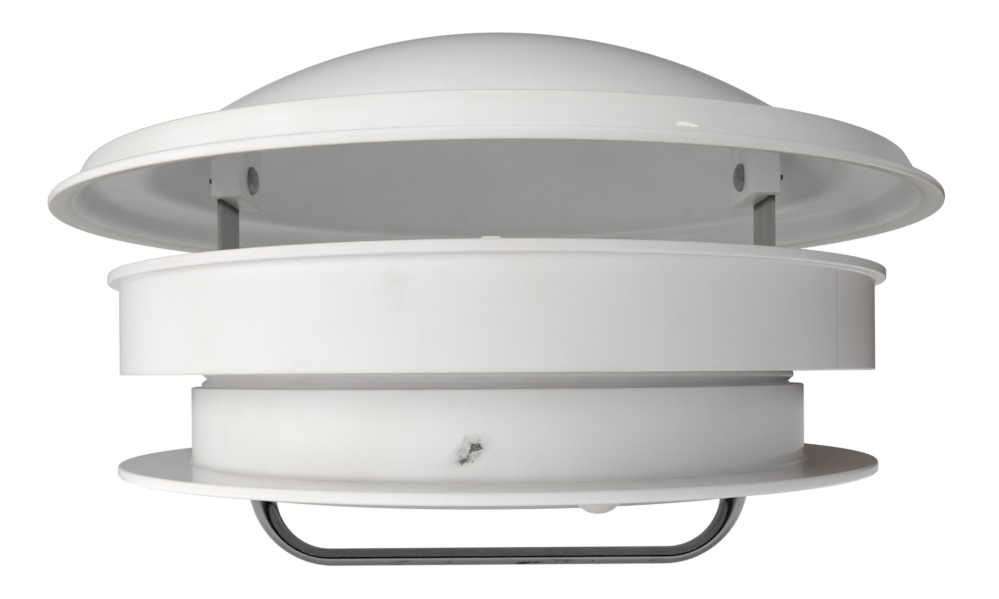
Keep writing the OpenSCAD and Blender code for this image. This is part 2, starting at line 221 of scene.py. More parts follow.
class Tap:
    """One output socket, on which Python's operators add Math nodes."""

    def __init__(self, sheet, socket):
        self.sheet = sheet
        self.socket = socket

    def out(self, key):
        """Another output of the same node."""
        return Tap(self.sheet, pick(self.socket.node.outputs, key))

    def maths(self, operation, *values):
        return self.sheet.node("ShaderNodeMath", {"operation": operation}, dict(enumerate(values)))

    def __add__(self, other):
        return self.maths("ADD", self, other)

    __radd__ = __add__

    def __sub__(self, other):
        return self.maths("SUBTRACT", self, other)

    def __rsub__(self, other):
        return self.maths("SUBTRACT", other, self)

    def __mul__(self, other):
        return self.maths("MULTIPLY", self, other)

    __rmul__ = __mul__

    def __truediv__(self, other):
        return self.maths("DIVIDE", self, other)

    def __abs__(self):
        return self.maths("ABSOLUTE", self)

    def __pow__(self, other):
        return self.maths("POWER", self, other)

    def floor(self):
        return self.maths("FLOOR", self)

    def least(self, other):
        return self.maths("MINIMUM", self, other)

    def most(self, other):
        return self.maths("MAXIMUM", self, other)

    def ease(self, low, high):
        """0 up to low, 1 from high, and smooth between them; low may be the larger."""
        sockets = {"Value": self, "From Min": low, "From Max": high}
        return self.sheet.node("ShaderNodeMapRange", {"interpolation_type": "SMOOTHSTEP"}, sockets)


def pick(sockets, key):
    """The socket with this place, identifier or name."""
    if isinstance(key, int):
        return sockets[key]
    for socket in sockets:
        if socket.identifier == key:
            return socket
    return sockets[key]


def rgba(value):
    """Adds an alpha to a colour; a tap stays as it is."""
    return value if isinstance(value, Tap) else (*value[:3], 1.0)


def toned(value, share):
    """A colour made darker or lighter, up to white."""
    return tuple(min(1.0, part * share) for part in value)


class Sheet:
    """A node tree under construction."""

    def __init__(self, tree):
        self.tree = tree
        tree.nodes.clear()

    def node(self, kind, settings=None, sockets=None, out=0):
        """Adds a node: its settings first, then its sockets' values or links."""
        made = self.tree.nodes.new(kind)
        for key, value in (settings or {}).items():
            setattr(made, key, value)
        for key, value in (sockets or {}).items():
            socket = pick(made.inputs, key)
            if isinstance(value, Tap):
                self.tree.links.new(value.socket, socket)
            else:
                socket.default_value = value
        if not made.outputs:
            return None
        return Tap(self, pick(made.outputs, out))

    def mix(self, amount, first, second):
        """Colour between two others."""
        sockets = {"Factor_Float": amount, "A_Color": rgba(first), "B_Color": rgba(second)}
        return self.node("ShaderNodeMix", {"data_type": "RGBA"}, sockets, out="Result_Color")

    def noise(self, where, scale, detail=3.0, roughness=0.5):
        """Noise of a scale per metre, from 0 to 1."""
        sockets = {"Vector": where, "Scale": scale, "Detail": detail, "Roughness": roughness}
        return self.node("ShaderNodeTexNoise", {"normalize": True}, sockets)

    def place(self, where, location=(0, 0, 0), turn=(0, 0, 0), scale=(1, 1, 1)):
        """Coordinates moved and turned into a pattern's own frame, and then scaled."""
        moved = self.node(
            "ShaderNodeMapping", {"vector_type": "TEXTURE"},
            {"Vector": where, "Location": location, "Rotation": turn},
        )
        return self.node("ShaderNodeMapping", {"vector_type": "POINT"}, {"Vector": moved, "Scale": scale})

    def split(self, where):
        """The X, Y and Z of a vector."""
        x = self.node("ShaderNodeSeparateXYZ", None, {"Vector": where})
        return x, x.out("Y"), x.out("Z")

    def join(self, x=0.0, y=0.0, z=0.0):
        """A vector from its X, Y and Z."""
        return self.node("ShaderNodeCombineXYZ", None, {"X": x, "Y": y, "Z": z})

    def round_axis(self, radius, turn, height):
        """The place at a radius, a turn about Z and a height."""
        return self.join(radius * turn.maths("COSINE", turn), radius * turn.maths("SINE", turn), height)

    def vector_maths(self, operation, sockets):
        return self.node("ShaderNodeVectorMath", {"operation": operation}, sockets)

    def bump(self, height, distance):
        """A normal from a height in which 1 stands for the distance."""
        return self.node("ShaderNodeBump", None, {"Height": height, "Distance": distance, "Strength": 1.0})

    def blend(self, amount, first, second):
        """A shader between two others."""
        return self.node("ShaderNodeMixShader", None, {0: amount, 1: first, 2: second})


class Finish(Sheet):
    """A material with its coordinates at hand."""

    def __init__(self, name):
        self.material = bpy.data.materials.new(name)
        self.material.use_nodes = True
        super().__init__(self.material.node_tree)
        self.where = self.node("ShaderNodeTexCoord", out="Object")
        self.x, self.y, self.z = self.split(self.where)

    def show(self, shader):
        """Adds the output and returns the material."""
        self.node("ShaderNodeOutputMaterial", None, {"Surface": shader})
        return self.material

    def close(self, **sockets):
        """Shows one Principled shader, whose sockets are named in Python's way."""
        named = {key.replace("_", " ").title().replace("Ior", "IOR"): value for key, value in sockets.items()}
        return self.show(self.node("ShaderNodeBsdfPrincipled", None, named))

    def angle(self):
        """Turn about the vent's axis: 0 at the right, -90 degrees at the front."""
        return self.x.maths("ARCTAN2", self.y, self.x)

    def radius(self):
        """Distance from the vent's axis."""
        return (self.x ** 2.0 + self.y ** 2.0) ** 0.5

    def grain(self, scale, detail=3.0, roughness=0.5):
        """Noise that is alike in all directions."""
        return self.noise(self.where, scale, detail, roughness)

    def drawn(self, scales, detail=3.0, roughness=0.5):
        """Noise stretched along the axis of the smallest scale."""
        return self.noise(self.place(self.where, scale=scales), 1.0, detail, roughness)

    def specks(self, scale, rarity):
        """Small spots, fewer as the rarity nears 1."""
        return self.grain(scale, 1.0).ease(rarity, rarity + 0.03)


AGEING = (0.93, 0.925, 0.91)


def moulded_white(finish, colours, base, dust_and_shade, marks_and_shade, streaks, peel, roughness, coat=0.5):
    """Closes a white plastic with uneven tone, dust and painted shade in a brownish grey, black spots and
    painted shade in soot, and a faintly uneven skin.
    """
    mottle = finish.grain(38.0, 4.0, 0.6)
    cloud = finish.grain(9.0, 2.0)
    aged = tuple(part * tint for part, tint in zip(base, AGEING))
    skin = finish.mix(mottle.ease(0.35, 0.75) * 0.5 + cloud.ease(0.4, 0.7) * 0.3, base, aged)
    skin = finish.mix(streaks, skin, toned(base, 0.9))
    # Dust, and painted shade where the caller gives it, towards the dust-and-shade colour.
    skin = finish.mix(dust_and_shade, skin, colours.dust_and_shade)
    # Black spots, and painted shade where the caller gives it, in soot.
    skin = finish.mix(marks_and_shade, skin, colours.soot)
    height = finish.grain(900.0, 2.0) * 0.35 + mottle * 0.65 + streaks * 0.25
    return finish.close(
        base_color=skin,
        roughness=roughness + mottle * 0.12 + marks_and_shade * 0.3 + streaks * 0.1,
        normal=finish.bump(height, peel),
        coat_weight=coat,
        coat_roughness=0.03,
        ior=1.49,
    )


def new_piece(name, mesh):
    piece = bpy.data.objects.new(name, mesh)
    bpy.context.scene.collection.objects.link(piece)
    return piece


@contextlib.contextmanager
def edited(mesh):
    """A mesh opened for editing, and written back at the end."""
    work = bmesh.new()
    work.from_mesh(mesh)
    yield work
    work.to_mesh(mesh)
    work.free()


def outward(mesh):
    """Merges doubles and turns every face outwards."""
    with edited(mesh) as work:
        bmesh.ops.remove_doubles(work, verts=work.verts, dist=1e-7)
        bmesh.ops.dissolve_degenerate(work, edges=work.edges, dist=1e-7)
        bmesh.ops.recalc_face_normals(work, faces=work.faces)
    return mesh


def evaluated_mesh(source):
    """The plain mesh of an object with its modifiers, after which the object is removed."""
    bpy.context.view_layer.update()
    depsgraph = bpy.context.evaluated_depsgraph_get()
    mesh = bpy.data.meshes.new_from_object(source.evaluated_get(depsgraph))
    old = source.data
    bpy.data.objects.remove(source)
    bpy.data.meshes.remove(old)
    return mesh


def give_modifier(holder, tree, values):
    """Adds a Geometry Nodes modifier with its inputs set by their sockets' identifiers."""
    modifier = holder.modifiers.new(tree.name, "NODES")
    modifier.node_group = tree
    for item in tree.interface.items_tree:
        if item.in_out == "INPUT" and item.name in values:
            modifier[item.identifier] = values[item.name]


def new_tree(name, inputs):
    """A Geometry Nodes tree with named inputs and one geometry out."""
    tree = bpy.data.node_groups.new(name, "GeometryNodeTree")
    for label, kind in inputs.items():
        tree.interface.new_socket(label, in_out="INPUT", socket_type=f"NodeSocket{kind}")
    tree.interface.new_socket("Geometry", in_out="OUTPUT", socket_type="NodeSocketGeometry")
    sheet = Sheet(tree)
    return tree, sheet, sheet.node("NodeGroupInput")


def close_tree(sheet, geometry, given):
    real = sheet.node("GeometryNodeRealizeInstances", None, {"Geometry": geometry})
    dressed = sheet.node(
        "GeometryNodeSetMaterial", None, {"Geometry": real, "Material": given.out("Material")}
    )
    sheet.node("NodeGroupOutput", None, {"Geometry": dressed})


TURNED = "turned section"
SET_OUT = "set out round the axis"
SEAM_TURN = math.pi / 2
MERGE = 1e-6


def turned_tree():
    """Turns a section about Z; its helical rows fall by one pitch in a turn and carry a groove."""
    if TURNED in bpy.data.node_groups:
        return bpy.data.node_groups[TURNED]
    tree, sheet, given = new_tree(TURNED, {
        "Section": "Geometry", "Segments": "Int", "Pitch": "Float", "Groove depth": "Float",
        "Thread top": "Float", "Thread foot": "Float", "Run out": "Float", "Material": "Material",
    })
    section = given.out("Section")
    segments = given.out("Segments")
    count = sheet.node("GeometryNodeAttributeDomainSize", {"component": "MESH"}, {"Geometry": section})
    columns = segments + 1
    grid = sheet.node("GeometryNodeMeshGrid", None, {"Vertices X": count, "Vertices Y": columns})
    index = sheet.node("GeometryNodeInputIndex")
    row = (index / columns).floor()
    share = (index - row * columns) / segments

    def along(kind, value):
        return sheet.node(
            "GeometryNodeSampleIndex", {"data_type": kind, "domain": "POINT"},
            {"Geometry": section, "Value": value, "Index": row},
        )

    def stored(name):
        named = sheet.node("GeometryNodeInputNamedAttribute", {"data_type": "FLOAT"}, {"Name": name})
        return along("FLOAT", named)

    radius, _, height = sheet.split(along("FLOAT_VECTOR", sheet.node("GeometryNodeInputPosition")))
    top, foot = given.out("Thread top"), given.out("Thread foot")
    falling = (height - given.out("Pitch") * share).least(top).most(foot)
    level = height + stored("helical") * (falling - height)
    run_out = (top - level).least(level - foot) / given.out("Run out")
    radius = radius - given.out("Groove depth") * stored("groove") * run_out.ease(0.0, 1.0)
    spot = sheet.round_axis(radius, share * math.tau + SEAM_TURN, level)
    moved = sheet.node("GeometryNodeSetPosition", None, {"Geometry": grid, "Position": spot})
    merged = sheet.node("GeometryNodeMergeByDistance", None, {"Geometry": moved, "Distance": MERGE})
    smooth = sheet.node("GeometryNodeSetShadeSmooth", None, {"Geometry": merged, "Shade Smooth": True})
    close_tree(sheet, smooth, given)
    return tree


def set_out_tree():
    """Puts copies of an object evenly round the axis, each turned to face outwards."""
    if SET_OUT in bpy.data.node_groups:
        return bpy.data.node_groups[SET_OUT]
    tree, sheet, given = new_tree(SET_OUT, {
        "Geometry": "Geometry", "Count": "Int", "Radius": "Float", "Height": "Float", "Start": "Float",
        "Copy of": "Object", "Material": "Material",
    })
    count = given.out("Count")
    points = sheet.node("GeometryNodePoints", None, {"Count": count})
    turn = sheet.node("GeometryNodeInputIndex") / count * math.tau + given.out("Start")
    spot = sheet.round_axis(given.out("Radius"), turn, given.out("Height"))
    spread = sheet.node("GeometryNodeSetPosition", None, {"Geometry": points, "Position": spot})
    copied = sheet.node("GeometryNodeObjectInfo", None, {"Object": given.out("Copy of")}, out="Geometry")
    facing = sheet.node("FunctionNodeEulerToRotation", None, {"Euler": sheet.join(z=turn)})
    copies = sheet.node(
        "GeometryNodeInstanceOnPoints", None, {"Points": spread, "Instance": copied, "Rotation": facing}
    )
    close_tree(sheet, copies, given)
    return tree


def section_mesh(chain):
    """A mesh whose points are a section's (r, z, helical, groove), in order."""
    mesh = bpy.data.meshes.new("section")
    mesh.from_pydata([(point[0], 0.0, point[1]) for point in chain], [], [])
    for place, name in ((2, "helical"), (3, "groove")):
        stored = mesh.attributes.new(name, "FLOAT", "POINT")
        for value, point in zip(stored.data, chain):
            value.value = point[place] if len(point) > place else 0.0
    return mesh


def turned(chain, segments, material=None, **thread):
    """Mesh of a section turned about the vent's axis."""
    holder = new_piece("section", section_mesh(chain))
    values = {"Segments": segments, "Run out": 1.0, "Thread top": 1.0, "Thread foot": -1.0}
    values.update({key.replace("_", " ").capitalize(): value for key, value in thread.items()})
    if material:
        values["Material"] = material
    give_modifier(holder, turned_tree(), values)
    return outward(evaluated_mesh(holder))


def set_out(name, fastener, count, radius, height, start, material):
    """Piece made of copies of a fastener's mesh, which is used up."""
    pattern = new_piece("fastener", fastener)
    holder = new_piece("points", bpy.data.meshes.new("points"))
    give_modifier(holder, set_out_tree(), {
        "Count": count, "Radius": radius, "Height": height, "Start": start,
        "Copy of": pattern, "Material": material,
    })
    mesh = evaluated_mesh(holder)
    bpy.data.objects.remove(pattern)
    bpy.data.meshes.remove(fastener)
    return new_piece(name, mesh)


SUPPORT = 0.35 * MM
STRAIGHT = 6.0 * MM


def arc(centre, radius, start, end, steps):
    """Points on a circle from one angle to another, both ends included."""
    return [
        (centre[0] + radius * math.cos(start + (end - start) * i / steps),
         centre[1] + radius * math.sin(start + (end - start) * i / steps))
        for i in range(steps + 1)
    ]


def rounded(corners, closed=True, steps=6):
    """Chain of points along corners of (r, z, fillet): arcs at the corners, points close to them on
    the straights, and long straights divided."""
    count = len(corners)
    runs = []
    for i, (r, z, fillet) in enumerate(corners):
        here = Vector((r, z))
        if fillet == 0 or (not closed and i in (0, count - 1)):
            runs.append([here])
            continue
        back = (Vector(corners[i - 1][:2]) - here).normalized()
        on = (Vector(corners[(i + 1) % count][:2]) - here).normalized()
        half = back.angle(on) / 2
        centre = here + (back + on).normalized() * fillet / math.sin(half)
        first = here + back * fillet / math.tan(half) - centre
        last = here + on * fillet / math.tan(half) - centre
        start = math.atan2(first.y, first.x)
        sweep = math.atan2(first.x * last.y - first.y * last.x, first.dot(last))
        runs.append([Vector(point) for point in arc(centre, fillet, start, start + sweep, steps)])
    chain = []
    for i, run in enumerate(runs):
        chain.extend(run)
        if closed or i + 1 < count:
            chain.extend(straight(run, runs[(i + 1) % count]))
    return [(point.x, point.y) for point in chain]


def straight(run, ahead):
    """Points between two runs: one close to each arc, and the rest evenly apart."""
    start, end = run[-1], ahead[0]
    gap = (end - start).length
    if gap < 3 * SUPPORT:
        return []
    points = []
    if len(run) > 1:
        points.append(start.lerp(end, SUPPORT / gap))
    parts = math.ceil(gap / STRAIGHT)
    points.extend(start.lerp(end, k / parts) for k in range(1, parts))
    if len(ahead) > 1:
        points.append(end.lerp(start, SUPPORT / gap))
    return points


def shut(chain):
    """The chain with its first point again at its end."""
    return chain + chain[:1]


def meet(point, along, other, other_along):
    """Where two lines in a section cross."""
    cross = along.x * other_along.y - along.y * other_along.x
    gap = other - point
    return point + along * ((gap.x * other_along.y - gap.y * other_along.x) / cross)


def cap_ball(sizes):
    """Radius of the ball that the cap is part of, and the height of its middle."""
    rise = sizes.crown_z - sizes.ledge_z
    ball = (sizes.cap_r ** 2 + rise ** 2) / (2 * rise)
    return ball, sizes.crown_z - ball


CAP_STEPS = 60
CAP_MARGIN = math.radians(3.0)


def dome_chain(sizes):
    """The dome's section, from the crown's outside round the rim to the crown's inside."""
    half = sizes.wall / 2
    ball, middle = cap_ball(sizes)
    centre = Vector((0.0, middle))
    mid = [
        Vector((sizes.cap_r, sizes.ledge_z - half)),
        Vector((sizes.ledge_r, sizes.ledge_z - half)),
        Vector((sizes.skirt_r, sizes.skirt_z)),
        Vector((sizes.brim_r, sizes.brim_z)),
    ]
    ways = [(b - a).normalized() for a, b in zip(mid, mid[1:])]
    sides = [Vector((-way.y, way.x)) * half for way in ways]

    def corner(i, sign):
        return meet(mid[i] + sides[i - 1] * sign, ways[i - 1], mid[i] + sides[i] * sign, ways[i])

    def on_ball(radius, height):
        return math.atan2(height - centre.y, math.sqrt(radius ** 2 - (height - centre.y) ** 2))

    foot = on_ball(ball, sizes.ledge_z) + CAP_MARGIN
    outside = arc(centre, ball, math.pi / 2, foot, CAP_STEPS)
    base = Vector((sizes.cap_r, sizes.ledge_z))
    inner_ball = ball - sizes.wall
    under_z = sizes.ledge_z - sizes.wall
    inner_foot = on_ball(inner_ball, under_z)
    inside = arc(centre, inner_ball, inner_foot + CAP_MARGIN, math.pi / 2, CAP_STEPS)
    start = inside.pop(0)
    joint = Vector((inner_ball * math.cos(inner_foot), under_z))
    edge = [
        (*outside.pop(), 0), (*base, 5.5 * MM), (*corner(1, 1), 2.2 * MM), (*corner(2, 1), 2.2 * MM),
        (*(mid[3] + sides[2]), 2.0 * MM), (*(mid[3] - sides[2]), 0.5 * MM), (*corner(2, -1), 8.0 * MM),
        (*corner(1, -1), 5.0 * MM), (*joint, 8.5 * MM), (*start, 0),
    ]
    return outside + rounded(edge, closed=False) + inside


ROWS_PER_TURN = 12
THREAD_TOP = 1.2 * MM
THREAD_END = 0.7 * MM
THREAD_RUN_OUT = 0.9 * MM
SEAL_WIDTH = 5.0 * MM


def collar_chain(sizes):
    """The collar's section, with helical rows along the thread."""
    deck = sizes.deck_z
    under = deck - sizes.wall
    inner = sizes.outer_r - sizes.wall
    seat = deck - sizes.seal_seat
    seal_in, seal_out = SEAL_HIGH[0] - SEAL_WIDTH, SEAL_HIGH[0]
    foot = sizes.spigot_z + THREAD_END
    chain = [(r, z, 0.0, 0.0) for r, z in rounded([
        (sizes.spigot_r, THREAD_TOP, 0),
        (sizes.spigot_r, under, 0.8 * MM),
        (inner, under, 0.8 * MM),
        (inner, 0.0, 0.45 * MM),
        (sizes.outer_r, 0.0, 0.6 * MM),
        (sizes.outer_r, under, 0.7 * MM),
        (sizes.lip_r, under, 0.7 * MM),
        (sizes.lip_r, deck, 0.5 * MM),
        (seal_out, deck, 0.3 * MM),
        (seal_out, seat, 0.25 * MM),
        (seal_in, seat, 0.25 * MM),
        (seal_in, deck, 0.3 * MM),
        (sizes.bore_r, deck, sizes.mouth_r),
        (sizes.bore_r, sizes.spigot_z, 0.5 * MM),
        (sizes.spigot_r, sizes.spigot_z, 0.4 * MM),
        (sizes.spigot_r, foot, 0),
    ], closed=False)]
    step = sizes.pitch / ROWS_PER_TURN
    lowest = math.floor((foot - sizes.groove_z) / step)
    highest = math.ceil((THREAD_TOP + sizes.pitch - sizes.groove_z) / step)
    flank = sizes.groove_w / 2
    for i in range(lowest, highest + 1):
        from_valley = abs((i + ROWS_PER_TURN // 2) % ROWS_PER_TURN - ROWS_PER_TURN // 2) * step
        groove = max(0.0, 1.0 - from_valley / flank)
        chain.append((sizes.spigot_r, sizes.groove_z + i * step, 1.0, groove))
    return shut(chain)


def ring_chain(sizes):
    """The ceiling ring's section: neck, flange and lower rim."""
    under = sizes.flange_z - sizes.flange_t
    return shut(rounded([
        (sizes.bore_r, sizes.neck_z, 0.5 * MM),
        (sizes.bore_r, sizes.rim_z, 0.7 * MM),
        (sizes.neck_r, sizes.rim_z, 0.7 * MM),
        (sizes.neck_r, under, 0.6 * MM),
        (sizes.flange_r, under, 0.9 * MM),
        (sizes.flange_r, sizes.flange_z, 0.8 * MM),
        (sizes.neck_r, sizes.flange_z, 1.6 * MM),
        (sizes.neck_r, sizes.neck_z, 0.6 * MM),
    ]))


def dome_inside(finish, sizes):
    """1 on the dome's inner side and 0 on its outer one."""
    ball, middle = cap_ball(sizes)
    half = sizes.wall / 2
    ledge = sizes.ledge_z - half
    lean = (sizes.skirt_r - sizes.ledge_r) / (ledge - sizes.skirt_z)
    radius = finish.radius()
    from_middle = (radius ** 2.0 + (finish.z - middle) ** 2.0) ** 0.5
    in_cap = (from_middle - (ball - half)).ease(half / 4, -half / 4)
    in_skirt = (radius - sizes.ledge_r - (ledge - finish.z) * lean).ease(half / 4, -half / 4)
    return in_cap.most(in_skirt * finish.z.ease(ledge + half / 4, ledge - half / 4))


def under_brim(finish, sizes):
    """1 on the brim's lower side."""
    fall = (sizes.skirt_z - sizes.brim_z) / (sizes.brim_r - sizes.skirt_r)
    radius = finish.radius()
    below = finish.z - sizes.skirt_z + (radius - sizes.skirt_r) * fall
    lower = below.ease(-0.2 * sizes.wall, -0.4 * sizes.wall)
    out = radius.ease(sizes.skirt_r - 3.0 * MM, sizes.skirt_r - 0.5 * MM)
    return lower * out * radius.ease(sizes.brim_r, sizes.brim_r - 0.6 * MM)


def dome_finish(colours, sizes):
    finish = Finish("formed_white_sheet")
    turn = finish.angle()
    wiped = finish.noise(finish.join(turn * 14.0, finish.z * 160.0, turn), 1.0, 4.0, 0.65)
    brim = under_brim(finish, sizes)
    inside = dome_inside(finish, sizes).most(brim)
    corner = abs(finish.z - (sizes.ledge_z - 1.0 * MM)).ease(4.0 * MM, 0.0) * 0.06
    dust = finish.grain(60.0, 5.0, 0.7).ease(0.55, 0.8) * 0.10
    # Painted shade: the brim's lower side is mixed almost halfway to the dust-and-shade colour. A band at the
    # ledge's height is a touch darker as well.
    return moulded_white(
        finish, colours, colours.dome, corner + dust + brim * 0.45, finish.specks(420.0, 0.83) * 0.35,
        wiped.ease(0.52, 0.78) * 0.35, 0.12 * MM, 0.26 + inside * 0.12, coat=0.5 - inside * 0.4,
    )


MOULD_SEAM = math.radians(-42.0)


def collar_finish(colours):
    finish = Finish("moulded_white_collar")
    turn = finish.angle()
    rubbed = finish.noise(finish.join(turn * 190.0, finish.z * 30.0), 1.0, 3.0, 0.6)
    on_wall = finish.z.ease(-0.5 * MM, 0.5 * MM) * finish.z.ease(27.5 * MM, 26.0 * MM)
    seam = abs(turn - MOULD_SEAM).ease(0.0042, 0.0012) * on_wall
    foot = finish.z.ease(1.6 * MM, 0.0) * finish.z.ease(-0.4 * MM, -0.1 * MM)
    thread = finish.z.ease(-0.6 * MM, -1.5 * MM)
    dust = finish.grain(70.0, 5.0, 0.7).ease(0.58, 0.85) * 0.12
    # Darker at the foot of the wall and on the thread, besides the seam and the dust.
    return moulded_white(
        finish, colours, colours.collar, seam * 0.3 + foot * 0.12 + thread * 0.05 + dust,
        finish.specks(380.0, 0.83) * 0.35, rubbed.ease(0.55, 0.85) * 0.4, 0.10 * MM, 0.34,
    )


def neck_smudge(finish, sizes):
    """The black mark on the neck's front: a broken ring with a tail, in a haze with dots."""
    broken = finish.grain(480.0, 3.0, 0.65)
    drift = finish.node(
        "ShaderNodeTexNoise", None, {"Vector": finish.where, "Scale": 420.0, "Detail": 3.0}, out="Color"
    )
    drift = finish.vector_maths("SUBTRACT", {0: drift, 1: (0.5, 0.5, 0.5)})
    drift = finish.vector_maths("SCALE", {0: drift, "Scale": 5.5 * MM})
    moved = finish.vector_maths("ADD", {0: finish.where, 1: drift})

    def laid(where, x, z, rise):
        """Places along and across a mark, by its middle on the neck and the rise of its long axis."""
        middle = (x * MM, -sizes.neck_r, z * MM)
        along, _, across = finish.split(finish.place(where, middle, (0.0, -math.radians(rise), 0.0)))
        return along, across

    along, across = laid(finish.where, -7.0, -19.6, 32.0)
    reach = ((along / (6.0 * MM)) ** 2.0 + (across / (3.0 * MM)) ** 2.0) ** 0.5
    haze = reach.ease(1.2, 0.2) * (broken.ease(0.35, 0.70) * 0.5 + 0.2)
    dots = reach.ease(1.1, 0.8) * broken.ease(0.60, 0.68) * 0.7
    along, across = laid(moved, -5.9, -18.4, 234.0)
    from_middle = (along ** 2.0 + across ** 2.0) ** 0.5
    blot = abs(from_middle - 1.0 * MM).ease(1.0 * MM, 0.0) * (broken.ease(0.25, 0.55) * 0.35 + 0.65)
    halo = from_middle.ease(3.4 * MM, 0.8 * MM) * (broken.ease(0.3, 0.6) * 0.25 + 0.22)
    past = along - along.most(0.0).least(5.2 * MM)
    kept = broken.ease(0.28, 0.60).most(along.ease(4.0 * MM, 1.5 * MM))
    tail = ((past ** 2.0 + across ** 2.0) ** 0.5).ease(1.3 * MM, 0.1 * MM) * kept * 0.9
    front = finish.y.ease(-0.9 * sizes.neck_r, -0.95 * sizes.neck_r)
    return blot.most(tail).most(halo).most(haze).most(dots) * front


def ring_finish(colours, sizes):
    finish = Finish("moulded_white_ring")
    rubbed = finish.noise(finish.join(finish.angle() * 120.0, finish.z * 60.0), 1.0, 3.0, 0.6)
    top, under = sizes.flange_z, sizes.flange_z - sizes.flange_t
    # A band round the height of the flange's upper face is made a touch darker.
    corner = finish.z.ease(top + 2.7 * MM, top - 0.4 * MM) * finish.z.ease(top - 2.8 * MM, top - 0.2 * MM)
    rim = finish.z.ease(under - 0.2 * MM, under - 1.0 * MM)
    dust = finish.grain(70.0, 5.0, 0.7).ease(0.58, 0.85) * 0.14
    # Painted shade: the lower rim below the flange is darkened towards soot, along with the specks and the
    # neck's smudge.
    marks_and_shade = (finish.specks(360.0, 0.825) * 0.4).most(neck_smudge(finish, sizes) * 0.95).most(rim * 0.45)
    return moulded_white(
        finish, colours, colours.ring, corner * 0.06 + dust, marks_and_shade, rubbed.ease(0.58, 0.85) * 0.3,
        0.10 * MM, 0.34, coat=0.8,
    )


def block_finish(colours):
    finish = Finish("bonded_white_block")
    dust = finish.grain(140.0, 5.0, 0.7).ease(0.5, 0.8) * 0.1
    # Painted shade: the lug's underside is darkened towards the dust-and-shade colour.
    under = finish.z.ease(LUG_LOW[2] + 0.6 * MM, LUG_LOW[2] + 0.1 * MM) * 0.4
    return moulded_white(
        finish, colours, colours.ring, dust + under, finish.specks(500.0, 0.78) * 0.5,
        finish.grain(60.0, 2.0) * 0.2, 0.1 * MM, 0.4,
    )


def button_finish(colours):
    finish = Finish("pressed_white_button")
    dust = finish.grain(200.0, 4.0, 0.7).ease(0.5, 0.8) * 0.15
    # Painted shade: the whole button is mixed about a third of the way to the dust-and-shade colour, darker
    # than the ring's white, with dust on top.
    return moulded_white(
        finish, colours, colours.ring, dust + 0.36, finish.specks(600.0, 0.8) * 0.4,
        finish.grain(90.0, 2.0) * 0.15, 0.06 * MM, 0.3,
    )


RUST = (0.16, 0.075, 0.03)
SPRING_BLUE = (0.06, 0.07, 0.10)


def rolled_steel(colours):
    finish = Finish("dull_rolled_steel")
    grain = finish.drawn((900.0, 900.0, 26.0), 4.0, 0.7)
    blotch = finish.grain(120.0, 5.0, 0.65)
    rusted = blotch.ease(0.62, 0.78)
    shaded = finish.z.ease(LUG_LOW[2] - 3.0 * MM, LUG_LOW[2] - 0.5 * MM)
    skin = finish.mix(grain.ease(0.3, 0.75) * 0.6, colours.steel, toned(colours.steel, 1.35))
    skin = finish.mix(rusted * 0.45, skin, RUST)
    skin = finish.mix(shaded * 0.8, skin, colours.soot)
    return finish.close(
        base_color=skin, metallic=0.45 - rusted * 0.3, roughness=0.42 + blotch * 0.25,
        normal=finish.bump(grain * 0.6 + blotch * 0.4, 0.05 * MM),
    )


def zinc_plate(colours, name, tone=1.0):
    finish = Finish(name)
    crystal = finish.grain(520.0, 4.0, 0.6)
    plate = toned(colours.zinc, tone)
    # Painted shade: past the lugs' outer faces, where the rivets' tails stand out, the plate is made near
    # black.
    outside = abs(finish.x).ease(LUG_HIGH[0] + 0.3 * MM, LUG_HIGH[0] + 0.8 * MM)
    skin = finish.mix(crystal.ease(0.4, 0.75) * 0.6, plate, toned(plate, 0.45))
    skin = finish.mix(outside * 0.7, skin, colours.soot)
    return finish.close(
        base_color=skin, metallic=0.9, roughness=0.28 + crystal * 0.25,
        normal=finish.bump(crystal, 0.03 * MM),
    )


def worn_chrome(colours):
    finish = Finish("worn_chrome_plate")
    haze = finish.grain(90.0, 4.0, 0.6)
    low = finish.z.ease(-62.2 * MM, -64.2 * MM)
    along = finish.join(finish.x * 70.0, finish.z * 420.0, finish.y * 60.0)
    pits = finish.noise(along, 1.0, 4.0, 0.7).ease(0.57, 0.65) * low
    worn = pits.most(finish.specks(700.0, 0.76) * 0.8)
    skin = finish.mix(haze.ease(0.35, 0.75), colours.chrome, toned(colours.chrome, 0.85))
    skin = finish.mix(worn, skin, colours.soot)
    return finish.close(
        base_color=skin, metallic=1.0 - worn * 0.6, roughness=0.10 + haze * 0.10 + worn * 0.4,
        normal=finish.bump(haze * 0.6 - worn * 0.4, 0.05 * MM),
    )


def foam_rubber(colours):
    finish = Finish("closed_cell_foam")
    cells = finish.node(
        "ShaderNodeTexVoronoi", {"feature": "F1"}, {"Vector": finish.where, "Scale": 1300.0}, out="Distance"
    )
    dust = finish.grain(90.0, 4.0, 0.6)
    skin = finish.mix(dust.ease(0.45, 0.8) * 0.6, colours.rubber, toned(colours.rubber, 3.0))
    return finish.close(base_color=skin, roughness=0.85 + dust * 0.1, normal=finish.bump(cells, 0.2 * MM))


def matt_guide(colours):
    finish = Finish("matt_grey_guide")
    cloud = finish.grain(90.0, 4.0, 0.6)
    rub = finish.drawn((700.0, 700.0, 40.0)).ease(0.55, 0.8)
    skin = finish.mix(cloud.ease(0.35, 0.8) * 0.6 + rub * 0.3, colours.guide, toned(colours.guide, 0.7))
    return finish.close(
        base_color=skin, roughness=0.55 + cloud * 0.15, normal=finish.bump(cloud * 0.5 + rub * 0.5, 0.05 * MM)
    )


